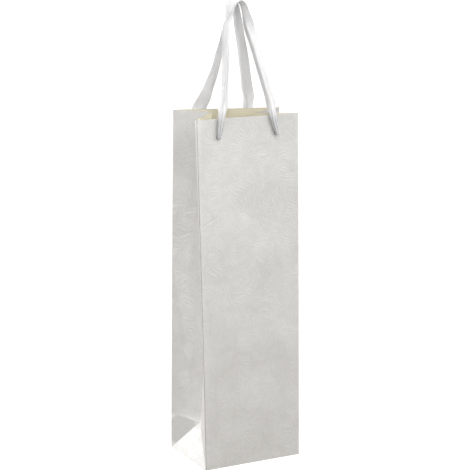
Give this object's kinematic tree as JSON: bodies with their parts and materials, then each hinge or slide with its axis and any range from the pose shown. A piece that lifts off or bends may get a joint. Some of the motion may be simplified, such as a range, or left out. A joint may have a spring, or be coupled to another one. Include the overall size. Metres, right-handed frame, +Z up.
{
  "type": "wine gift bag",
  "caption": "Tall narrow gusseted paper carrier for a wine bottle, with satin ribbon loop handles threaded through its top edge.",
  "frame": {"origin": "centre of the base, on the surface the bag stands on", "axes": "+Z up the bag, -Y out of the broad front panel, +X to the right seen from the front"},
  "size_m": [0.106, 0.0784, 0.4718],
  "materials": {
    "pearl_paper": "pearl coated, embossed",
    "plain_paper": "uncoated, cream",
    "grey_card": "matt",
    "white_board": "matt",
    "satin_ribbon": "satin"
  },
  "bodies": {
    "bag": {"front_panel": "pearl_paper", "back_panel": "pearl_paper", "left_gusset_front_half": "pearl_paper", "left_gusset_rear_half": "pearl_paper", "right_gusset_front_half": "pearl_paper", "right_gusset_rear_half": "pearl_paper", "left_foot_front": "pearl_paper", "left_foot_middle": "pearl_paper", "left_foot_rear": "pearl_paper", "right_foot_front": "pearl_paper", "right_foot_middle": "pearl_paper", "right_foot_rear": "pearl_paper", "glue_seam_flap": "plain_paper", "front_inner_collar": "plain_paper", "back_inner_collar": "plain_paper", "left_inner_collar_front": "plain_paper", "left_inner_collar_rear": "plain_paper", "right_inner_collar_front": "plain_paper", "right_inner_collar_rear": "plain_paper", "front_top_card": "grey_card", "back_top_card": "grey_card", "front_base_flap": "pearl_paper", "back_base_flap": "pearl_paper", "left_dust_flap": "plain_paper", "right_dust_flap": "plain_paper", "base_board": "white_board", "front_left_knot": "satin_ribbon", "front_right_knot": "satin_ribbon", "back_left_knot": "satin_ribbon", "back_right_knot": "satin_ribbon"},
    "front_handle": {"front_ribbon": "satin_ribbon"},
    "back_handle": {"back_ribbon": "satin_ribbon"}
  },
  "joints": [
    {"name": "front_handle_swing", "type": "hinge", "parent": "bag", "child": "front_handle", "pos_m": [-0.00031, -0.02917, 0.338], "axis": [0.987, -0.1607, 0], "range_deg": [0, 170]},
    {"name": "back_handle_swing", "type": "hinge", "parent": "bag", "child": "back_handle", "pos_m": [-0.00346, 0.01875, 0.338], "axis": [-0.94, 0.3411, 0], "range_deg": [0, 165]}
  ]
}
